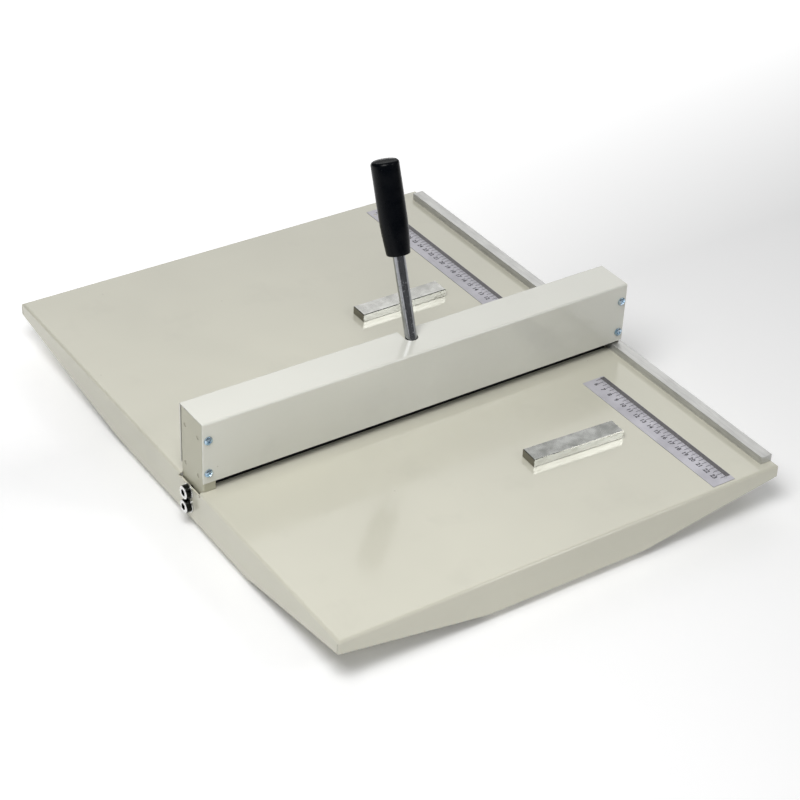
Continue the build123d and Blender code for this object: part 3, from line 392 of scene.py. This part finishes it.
def bronze():
    """Sintered bronze with open pores."""
    s = Shade("sintered_bronze", Metallic=1.0)
    cloud = s.noise(200, 4, 0.6)
    colour = s.mix(s.span(cloud, 0.4, 0.7, 0, 1), linear(196, 160, 104), linear(146, 112, 68))
    pores = s.span(s.dots(1800), 0.12, 0.25, 0.7, 0)
    colour = s.mix(pores, colour, linear(60, 46, 30))
    s.bump(pores, 0.02 * MM)
    return s.finish(colour, s.span(cloud, 0.3, 0.7, 0.28, 0.45))


def scale_plate():
    """Satin printed aluminium: lilac white, fine brushing, scuffs towards its rims."""
    s = Shade("scale_white", Specular_IOR_Level=0.5, Coat_Weight=0.3, Coat_Roughness=0.2)
    cloud = s.noise(30, 4, 0.6)
    colour = s.mix(s.span(cloud, 0.4, 0.7, 0, 1), linear(196, 194, 202), linear(176, 174, 182))
    scuff = s.span(s.noise(500, 3, 0.6, (1, 0.08, 1)), 0.6, 0.75, 0, 0.35)
    colour = s.mix(scuff, colour, linear(140, 138, 142))
    s.bump(s.noise(900, 2, 0.5, (1, 0.05, 1)), 0.006 * MM)
    return s.finish(colour, s.span(cloud, 0.3, 0.7, 0.28, 0.45))


def ink(name, tone):
    """Matt print, worn through in places."""
    s = Shade(name, Specular_IOR_Level=0.4)
    wear = s.noise(700, 3, 0.6)
    worn = linear(*[min(255, v * 1.25 + 16) for v in tone])
    colour = s.mix(s.span(wear, 0.5, 0.72, 0, 0.8), linear(*tone), worn)
    s.bump(wear, 0.004 * MM)
    return s.finish(colour, s.span(wear, 0.3, 0.7, 0.35, 0.55))


# ------------------------------------------------------------------ mesh helpers
def new_piece(name, mesh, body, material, replaces=()):
    """Puts a mesh in the scene on a body, in place of these CAD nodes."""
    piece = bpy.data.objects.new(name, mesh)
    bpy.context.scene.collection.objects.link(piece)
    if not mesh.materials:
        mesh.materials.append(material)
    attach(piece, body)
    if replaces:
        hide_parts(*replaces)
    return piece


def to_mesh(bm, name, smooth_angle=35):
    """A mesh shaded smooth, except over edges sharper than this angle."""
    bmesh.ops.recalc_face_normals(bm, faces=bm.faces)
    limit = math.radians(smooth_angle)
    for face in bm.faces:
        face.smooth = True
    for edge in bm.edges:
        if len(edge.link_faces) == 2 and edge.calc_face_angle() > limit:
            edge.smooth = False
    mesh = bpy.data.meshes.new(name)
    bm.to_mesh(mesh)
    bm.free()
    return mesh


def round_point(radius, height, step, steps):
    """A point this far round a circle about Z."""
    turn = 2 * math.pi * step / steps
    return Vector((radius * math.cos(turn), radius * math.sin(turn), height))


def revolve(bm, profile, segments, matrix):
    """Turns (radius, height) points round Z. A radius of 0 closes an end to a point."""
    rings = []
    for radius, height in profile:
        if radius == 0:
            rings.append([bm.verts.new((0, 0, height))])
        else:
            rings.append([bm.verts.new(round_point(radius, height, i, segments)) for i in range(segments)])
    made = [vert for ring in rings for vert in ring]
    for low, high in zip(rings, rings[1:]):
        for i in range(segments):
            j = (i + 1) % segments
            if len(low) == 1 and len(high) == 1:
                continue
            if len(low) == 1:
                bm.faces.new((low[0], high[j], high[i]))
            elif len(high) == 1:
                bm.faces.new((low[i], low[j], high[0]))
            else:
                bm.faces.new((low[i], low[j], high[j], high[i]))
    bmesh.ops.transform(bm, matrix=matrix, verts=made)
    return made


def arc(centre_r, centre_z, radius, start, end, steps):
    """(radius, height) points round a corner, angles in degrees from outward."""
    points = []
    for i in range(steps + 1):
        a = math.radians(start + (end - start) * i / steps)
        points.append((centre_r + radius * math.cos(a), centre_z + radius * math.sin(a)))
    return points


def facing(direction, origin):
    """A matrix that takes +Z to a direction, at an origin."""
    turn = Vector(direction).to_track_quat("Z", "Y").to_matrix().to_4x4()
    return Matrix.Translation(origin) @ turn


# ------------------------------------------------------------------ lever
def lever_axis():
    """From the shaft's middle up along the rod."""
    return facing((0, math.sin(LEVER_LEAN), math.cos(LEVER_LEAN)), SHAFT)


def build_rod():
    """The rod, with a thinner end that screws into the hub."""
    stud_end, start, end, bevel = 7 * MM, 14.5 * MM, 177 * MM, 0.3 * MM
    bands = 8
    profile = [(0, stud_end), (ROD_STUD_R, stud_end), (ROD_STUD_R, start)]
    profile += [(ROD_R - bevel, start), (ROD_R, start + bevel)]
    profile += [(ROD_R, start + (end - start) * i / bands) for i in range(1, bands + 1)]
    profile += [(0, end)]
    bm = bmesh.new()
    revolve(bm, profile, 64, lever_axis())
    mesh = to_mesh(bm, "chromed_rod")
    new_piece("chromed_rod", mesh, "lever", MATERIALS["chrome_rod"], ["lever_rod"])


def build_grip():
    """A grip that swells towards its domed top, with rounded rims."""
    start, end = 98.1 * MM, 185.58 * MM
    taper, rim, low_rim, dome = 36.0 * MM, 3.2 * MM, 1.2 * MM, 0.8 * MM
    mouth, mouth_bevel, skin = 5.75 * MM, 0.5 * MM, 0.01 * MM
    inner = start + 0.6 * MM
    bands, straight_bands, dome_bands = 12, 6, 6
    profile = [(0, inner), (mouth, inner), (mouth + mouth_bevel, start)]
    profile += arc(GRIP_LOW_R - low_rim, start + low_rim, low_rim, -90, 0, 6)
    for i in range(1, bands + 1):
        t = i / bands
        swell = (GRIP_TOP_R - GRIP_LOW_R) * math.sin(t * math.pi / 2)
        profile.append((GRIP_LOW_R + swell, start + low_rim + (taper - low_rim) * t))
    shoulder = end - dome - rim
    for i in range(1, straight_bands + 1):
        profile.append((GRIP_TOP_R, start + taper + (shoulder - start - taper) * i / straight_bands))
    profile += arc(GRIP_TOP_R - rim, shoulder, rim, 0, 90, 10)[1:]
    for i in range(1, dome_bands):
        out = 1 - i / dome_bands
        profile.append(((GRIP_TOP_R - rim) * out, end - dome * out**2 - skin))
    profile += [(0, end - skin)]
    bm = bmesh.new()
    revolve(bm, profile, 96, lever_axis())
    mesh = to_mesh(bm, "moulded_grip")
    new_piece("moulded_grip", mesh, "lever", MATERIALS["black_grip"], ["lever_grip"])


# ------------------------------------------------------------------ screws
def cross_head(bm, matrix):
    """A domed screw head with a tapered cross recess, and a short shank under it."""
    segments, rings = 96, 18
    arm, half, depth, dome = 2.5 * MM, 0.55 * MM, 1.5 * MM, 1.15 * MM
    side_slope, end_slope = 0.25 * MM, 0.9 * MM

    def crown(point):
        """Height of the head's surface over a point of its seat."""
        rise = PAN_H - dome * (point.xy.length / PAN_R) ** 2.6
        slots = []
        for a, b in ((point.x, point.y), (point.y, point.x)):
            slots.append(min((half - abs(b)) / side_slope, (arm - abs(a)) / end_slope))
        return rise - depth * max(0.0, min(1.0, max(slots)))

    loops = []
    for k in range(1, rings + 1):
        loop = []
        for i in range(segments):
            point = round_point(PAN_R * k / rings, 0, i, segments)
            point.z = crown(point)
            loop.append(bm.verts.new(matrix @ point))
        loops.append(loop)
    for r, z in ((PAN_R, 0.0), (PAN_SHANK_R, 0.0), (PAN_SHANK_R, -PAN_SHANK)):
        loop = [bm.verts.new(matrix @ round_point(r, z, i, segments)) for i in range(segments)]
        loops.append(loop)
    top = bm.verts.new(matrix @ Vector((0, 0, crown(Vector((0, 0, 0))))))
    low = bm.verts.new(matrix @ Vector((0, 0, -PAN_SHANK)))
    for i in range(segments):
        j = (i + 1) % segments
        bm.faces.new((top, loops[0][i], loops[0][j]))
        bm.faces.new((low, loops[-1][j], loops[-1][i]))
        for a, b in zip(loops, loops[1:]):
            bm.faces.new((a[i], b[i], b[j], a[j]))


def cover_screw_places():
    """Head seats of the cover's screws, read from the CAD node's own box."""
    low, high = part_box("cover_screws")
    face_low, face_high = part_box("beam_cover")
    for x in (low.x + PAN_R, high.x - PAN_R):
        for z in (low.z + PAN_R, high.z - PAN_R):
            yield Vector((x, face_low.y, z)), -1
            yield Vector((x, face_high.y, z)), 1


def build_cover_screws():
    """The cover's screws, each turned its own way."""
    heads = bmesh.new()
    for number, (seat, side) in enumerate(cover_screw_places()):
        cross_head(heads, facing((0, side, 0), seat) @ Matrix.Rotation(0.45 + number * 1.1, 4, "Z"))
    mesh = to_mesh(heads, "cross_head_screws", 40)
    look = MATERIALS["zinc_screw"]
    new_piece("cross_head_screws", mesh, "base", look, ["cover_screws"])


def bolt_places():
    """Sides and outer faces of the bolts' washers, read from the CAD node's own box."""
    low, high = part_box("side_washers")
    y = (low.y + high.y) / 2
    for side, x in ((-1, low.x), (1, high.x)):
        for z in (low.z + WASHER_R, high.z - WASHER_R):
            yield side, Vector((x, y, z))


def build_side_bolts():
    """Low cap heads with a hexagon socket, each on a plain washer."""
    bolts, washers = bmesh.new(), bmesh.new()
    segments = 96
    ring = [(WASHER_HOLE_R, -WASHER_T), (WASHER_R - FINE_BEVEL, -WASHER_T)]
    ring += [(WASHER_R, FINE_BEVEL - WASHER_T), (WASHER_R, -FINE_BEVEL)]
    ring += [(WASHER_R - FINE_BEVEL, 0), (WASHER_HOLE_R, 0), (WASHER_HOLE_R, -WASHER_T)]
    bolt = [(0, -BOLT_SHANK), (BOLT_R, -BOLT_SHANK), (BOLT_R, 0)]
    bolt += [(BOLT_HEAD_R - FINE_BEVEL, 0), (BOLT_HEAD_R, FINE_BEVEL)]
    bolt += arc(BOLT_HEAD_R - BOLT_EDGE_R, BOLT_HEAD_H - BOLT_EDGE_R, BOLT_EDGE_R, 0, 90, 8)
    for number, (side, place) in enumerate(bolt_places()):
        out = facing((side, 0, 0), place) @ Matrix.Rotation(0.3 + number, 4, "Z")
        revolve(washers, ring, segments, out)
        verts = revolve(bolts, bolt, segments, out)
        close_with_socket(bolts, verts[-segments:], out)
    pairs = (
        ("socket_bolts", bolts, "side_bolts", "painted_light_bolt"),
        ("plain_washers", washers, "side_washers", "bright_bolt"),
    )
    for name, bm, node, look in pairs:
        bmesh.ops.remove_doubles(bm, verts=bm.verts, dist=0.001 * MM)
        new_piece(name, to_mesh(bm, name), "base", MATERIALS[look], [node])


def close_with_socket(bm, rim, matrix):
    """Closes a bolt head's round rim with a hexagon socket."""
    count = len(rim)
    sixth = math.pi / 3
    mouth, floor = [], []
    for i in range(count):
        local = (2 * math.pi * i / count + sixth / 2) % sixth - sixth / 2
        r = HEX_REACH * math.cos(sixth / 2) / math.cos(local)
        mouth.append(bm.verts.new(matrix @ round_point(r, BOLT_HEAD_H, i, count)))
        floor.append(bm.verts.new(matrix @ round_point(r, BOLT_HEAD_H - HEX_DEPTH, i, count)))
    centre = bm.verts.new(matrix @ Vector((0, 0, BOLT_HEAD_H - HEX_DEPTH - HEX_POINT)))
    for i in range(count):
        j = (i + 1) % count
        bm.faces.new((rim[i], rim[j], mouth[j], mouth[i]))
        bm.faces.new((mouth[i], mouth[j], floor[j], floor[i]))
        bm.faces.new((floor[i], floor[j], centre))


# ------------------------------------------------------------------ return springs
def coil(bm, foot, height):
    """One closed coil of round wire that stands on a point."""
    per_turn, sides = 40, 12
    steps = SPRING_TURNS * per_turn
    rings = []
    for i in range(steps + 1):
        out = round_point(1, 0, i, per_turn)
        rise = Vector((0, 0, WIRE_R + (height - 2 * WIRE_R) * i / steps))
        centre = foot + rise + SPRING_R * out
        section = []
        for k in range(sides):
            a = 2 * math.pi * k / sides
            spot = centre + WIRE_R * (math.cos(a) * out + math.sin(a) * Vector((0, 0, 1)))
            section.append(bm.verts.new(spot))
        rings.append(section)
    for a, b in zip(rings, rings[1:]):
        for k in range(sides):
            n = (k + 1) % sides
            bm.faces.new((a[k], a[n], b[n], b[k]))
    bm.faces.new(rings[0])
    bm.faces.new(reversed(rings[-1]))


def build_springs():
    """Two coils, built at the length of the CAD's return springs; on the press they shorten as the press
    bar comes down.
    """
    low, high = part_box("return_springs")
    length = high.z - low.z
    y = (low.y + high.y) / 2
    bm = bmesh.new()
    for x in (low.x + SPRING_R + WIRE_R, high.x - SPRING_R - WIRE_R):
        coil(bm, Vector((x, y, low.z)), length)
    mesh = to_mesh(bm, "coil_springs")
    look = MATERIALS["tool_steel"]
    coils = new_piece("coil_springs", mesh, "base", look, ["return_springs"])
    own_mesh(coils)


# ------------------------------------------------------------------ scales
def block(bm, low, high):
    """A small box between two corners."""
    matrix = Matrix.Translation((Vector(low) + Vector(high)) / 2)
    size = Vector(high) - Vector(low)
    bmesh.ops.create_cube(bm, size=1, matrix=matrix @ Matrix.Diagonal((*size, 1)))


def digit_meshes():
    """The ten digits as thin solids, each centred on its foot."""
    cap_height = 0.7
    made = []
    for digit in "0123456789":
        curve = bpy.data.curves.new("digit", "FONT")
        curve.body = digit
        curve.align_x = "CENTER"
        curve.size = DIGIT_H / cap_height
        curve.extrude = INK / 2
        curve.offset = DIGIT_BOLD * DIGIT_H
        curve.resolution_u = 3
        holder = bpy.data.objects.new("digit", curve)
        bpy.context.scene.collection.objects.link(holder)
        graph = bpy.context.evaluated_depsgraph_get()
        made.append(bpy.data.meshes.new_from_object(holder.evaluated_get(graph)))
        bpy.data.objects.remove(holder)
    return made


def tick_size(step):
    """Length and width of the line at this millimetre."""
    if step % 10 == 0:
        return 6.6 * MM, 0.6 * MM
    if step % 5 == 0:
        return 6.0 * MM, 0.6 * MM
    return 3.6 * MM, 0.12 * MM


def print_number(bm, value, centre, digits):
    """A whole number that reads from the machine's left side."""
    turn = Matrix.Rotation(-math.pi / 2, 4, "Z")
    text = str(value)
    for place, letter in enumerate(text):
        along = (place - (len(text) - 1) / 2) * DIGIT_PITCH
        spot = centre - Vector((0, along, 0))
        held = len(bm.verts)
        bm.from_mesh(digits[int(letter)])
        bm.verts.ensure_lookup_table()
        fresh = bm.verts[held:]
        bmesh.ops.transform(bm, matrix=Matrix.Translation(spot) @ turn, verts=fresh)


def print_scale(name, node, direction, digits):
    """Ticks every millimetre, digits every centimetre, counted from the blade's line."""
    low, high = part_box(node)
    zero, top = SHAFT.y, high.z
    near_margin, far_margin, side_margin = 1.5 * MM, 3.0 * MM, 0.15 * MM
    band_near, band_far = 1 * MM, 6 * MM
    band_in = high.x - BAND
    near, far = sorted(((low.y - zero) * direction, (high.y - zero) * direction))
    first = math.ceil((near + near_margin) / MM)
    last = math.floor((far - far_margin) / MM)
    marks = bmesh.new()
    for step in range(first, last + 1):
        reach, wide = tick_size(step)
        y = zero + direction * step * MM
        block(marks, (band_in - reach, y - wide / 2, top), (band_in, y + wide / 2, top + INK))
    for centimetre in range(math.ceil((first + 4) / 10), (last - 3) // 10 + 1):
        y = zero + direction * centimetre * CM
        print_number(marks, centimetre, Vector((low.x + DIGIT_LINE, y, top + INK / 2)), digits)
    new_piece(name + "_marks", to_mesh(marks, name), "base", MATERIALS["scale_ink"])
    ends = (band_near, band_far) if direction > 0 else (band_far, band_near)
    strip = bmesh.new()
    corner = (high.x - side_margin, high.y - ends[1], top + INK)
    block(strip, (band_in, low.y + ends[0], top), corner)
    new_piece(name + "_band", to_mesh(strip, name), "base", MATERIALS["scale_band"])


def build_scales():
    digits = digit_meshes()
    print_scale("scale_front", "ruler_front", -1, digits)
    print_scale("scale_rear", "ruler_rear", 1, digits)


# ------------------------------------------------------------------ finish of CAD nodes
def make_materials():
    """Every look by its key, which is mostly the record's slot."""
    brushed_x = (0.05, 1, 1)
    brushed_y = (1, 0.05, 1)
    return {
        "table_paint": paint("table_enamel", (213, 211, 195), 0.0),
        # the cover's edge tone is lighter than its paint: a painted highlight along all its edges
        "cover_paint": paint("cover_enamel", (224, 224, 215), 4.0, wear=1.6, edge=(240, 240, 234)),
        "bracket_paint": paint("bracket_enamel", (193, 191, 170), 6.0, gloss=0.3),
        "fence_bar": metal("fence_satin", (205, 205, 202), 0.34, brushed_y, shift=8, bare=0.6),
        "black_steel": black_oxide(),
        "black_rubber": rubber(),
        "zinc_screw": zinc(),
        "painted_screw": painted_screw(),
        "painted_light_bolt": bolt_finish(),
        "bright_bolt": metal("bolt_nickel", (226, 226, 226), 0.12, lines=600, depth=0.003),
        "plain_steel": metal("machined_steel", (158, 160, 163), 0.34, brushed_x),
        "tool_steel": metal("ground_steel", (140, 141, 144), 0.26, (1, 0.06, 1), shift=3),
        "bronze": bronze(),
        "chrome_rod": chrome(),
        "black_grip": grip_plastic(),
        "nickel_bar": nickel(),
        "magnet": metal("magnet_nickel", (196, 194, 190), 0.2, stain=0.2, shift=6),
        "scale_plate": scale_plate(),
        "scale_ink": ink("scale_ink", (46, 44, 52)),
        "scale_band": ink("scale_band", (92, 90, 92)),
    }


def dress_cad_nodes():
    """Each CAD node gets its slot's material; brackets and their screws have their own."""
    slots = {row["node"]: row["material_slot"] for row in frame["record"]["subparts"]}
    for name, node in frame["nodes"].items():
        key = slots[name]
        if name.startswith("end_bracket"):
            key = "bracket_paint"
        if name in ("bearing_screws", "guide_screws"):
            key = "painted_screw"
        if not node.material_slots:
            node.data.materials.append(MATERIALS[key])
        for held in node.material_slots:
            held.material = MATERIALS[key]


# ------------------------------------------------------------------ stage
def build_floor():
    """A pale floor that falls off to a soft grey far from the machine."""
    bm = bmesh.new()
    bmesh.ops.create_grid(bm, x_segments=4, y_segments=4, size=6.0)
    floor = bpy.data.objects.new("floor", to_mesh(bm, "floor"))
    bpy.context.scene.collection.objects.link(floor)
    s = Shade("studio_floor", Specular_IOR_Level=0.05, Emission_Strength=1.0)
    distance = s.nodes.new("ShaderNodeVectorMath")
    distance.operation = "LENGTH"
    s.links.new(s.place, distance.inputs[0])
    fade = s.span(distance.outputs["Value"], PALE_REACH, GREY_REACH, 0, 1)
    pale = s.mix(s.noise(3), linear(249, 249, 249), linear(251, 251, 251))
    # a little light of its own, more of it behind the machine
    behind = s.span(s.axis(s.place, "Y"), 0.1, 0.7, 0, 1)
    glow = s.mix(behind, (0.1, 0.1, 0.1, 1), (0.75, 0.75, 0.75, 1))
    glow = s.mix(fade, glow, (0.04, 0.04, 0.04, 1))
    s.links.new(glow, s.surface.inputs["Emission Color"])
    floor.data.materials.append(s.finish(s.mix(fade, pale, linear(112, 112, 112)), 0.9))


def softbox(name, location, target, size, radiance):
    """A soft rectangle of light, as bright as this many times a white surface."""
    light = bpy.data.lights.new(name, "AREA")
    light.shape = "RECTANGLE"
    light.size, light.size_y = size
    light.energy = radiance * math.pi * size[0] * size[1]
    holder = bpy.data.objects.new(name, light)
    holder.location = location
    aim = Vector(target) - Vector(location)
    holder.rotation_euler = aim.to_track_quat("-Z", "Y").to_euler()
    bpy.context.scene.collection.objects.link(holder)


def build_lights():
    """A key over the left, a bright wall far behind, a small strong light at front right."""
    world = bpy.data.worlds.new("studio")
    bpy.context.scene.world = world
    world.use_nodes = True
    back = world.node_tree.nodes["Background"]
    back.inputs["Color"].default_value = (0.98, 0.99, 1.0, 1)
    back.inputs["Strength"].default_value = 0.13
    softbox("top_left", (-0.6, -0.45, 1.3), (0, -0.05, 0.05), (0.8, 0.8), 7.9)
    softbox("back_wall", (1.5, 2.13, 1.8), (0, 0, 0.05), (2.9, 2.1), 1.25)
    softbox("front_right", (1.5, -2.07, 1.69), (0.09, -0.04, 0.05), (0.5, 0.42), 15.0)


def build_camera():
    """A long lens from the front left, rolled a little."""
    azimuth, elevation = math.radians(VIEW_AZIMUTH), math.radians(VIEW_ELEVATION)
    flat = math.cos(elevation)
    back = Vector((math.sin(azimuth) * flat, -math.cos(azimuth) * flat, math.sin(elevation)))
    level = Vector((0, 0, 1)).cross(back).normalized()
    raised = back.cross(level)
    roll = math.radians(VIEW_ROLL)
    right = math.cos(roll) * level + math.sin(roll) * raised
    up = math.cos(roll) * raised - math.sin(roll) * level
    camera = bpy.data.objects.new("camera", bpy.data.cameras.new("camera"))
    camera.data.lens = LENS_MM
    camera.data.sensor_width = 36
    camera.data.clip_start, camera.data.clip_end = 0.05, 40
    camera.matrix_world = Matrix.Translation(VIEW_CENTRE + VIEW_DISTANCE * back) @ Matrix(
        (right, up, back)
    ).transposed().to_4x4()
    bpy.context.scene.collection.objects.link(camera)
    bpy.context.scene.camera = camera


MATERIALS = make_materials()
dress_cad_nodes()
build_rod()
build_grip()
build_cover_screws()
build_side_bolts()
build_springs()
build_scales()
build_floor()
build_lights()
build_camera()
bpy.context.scene.view_settings.view_transform = "Standard"
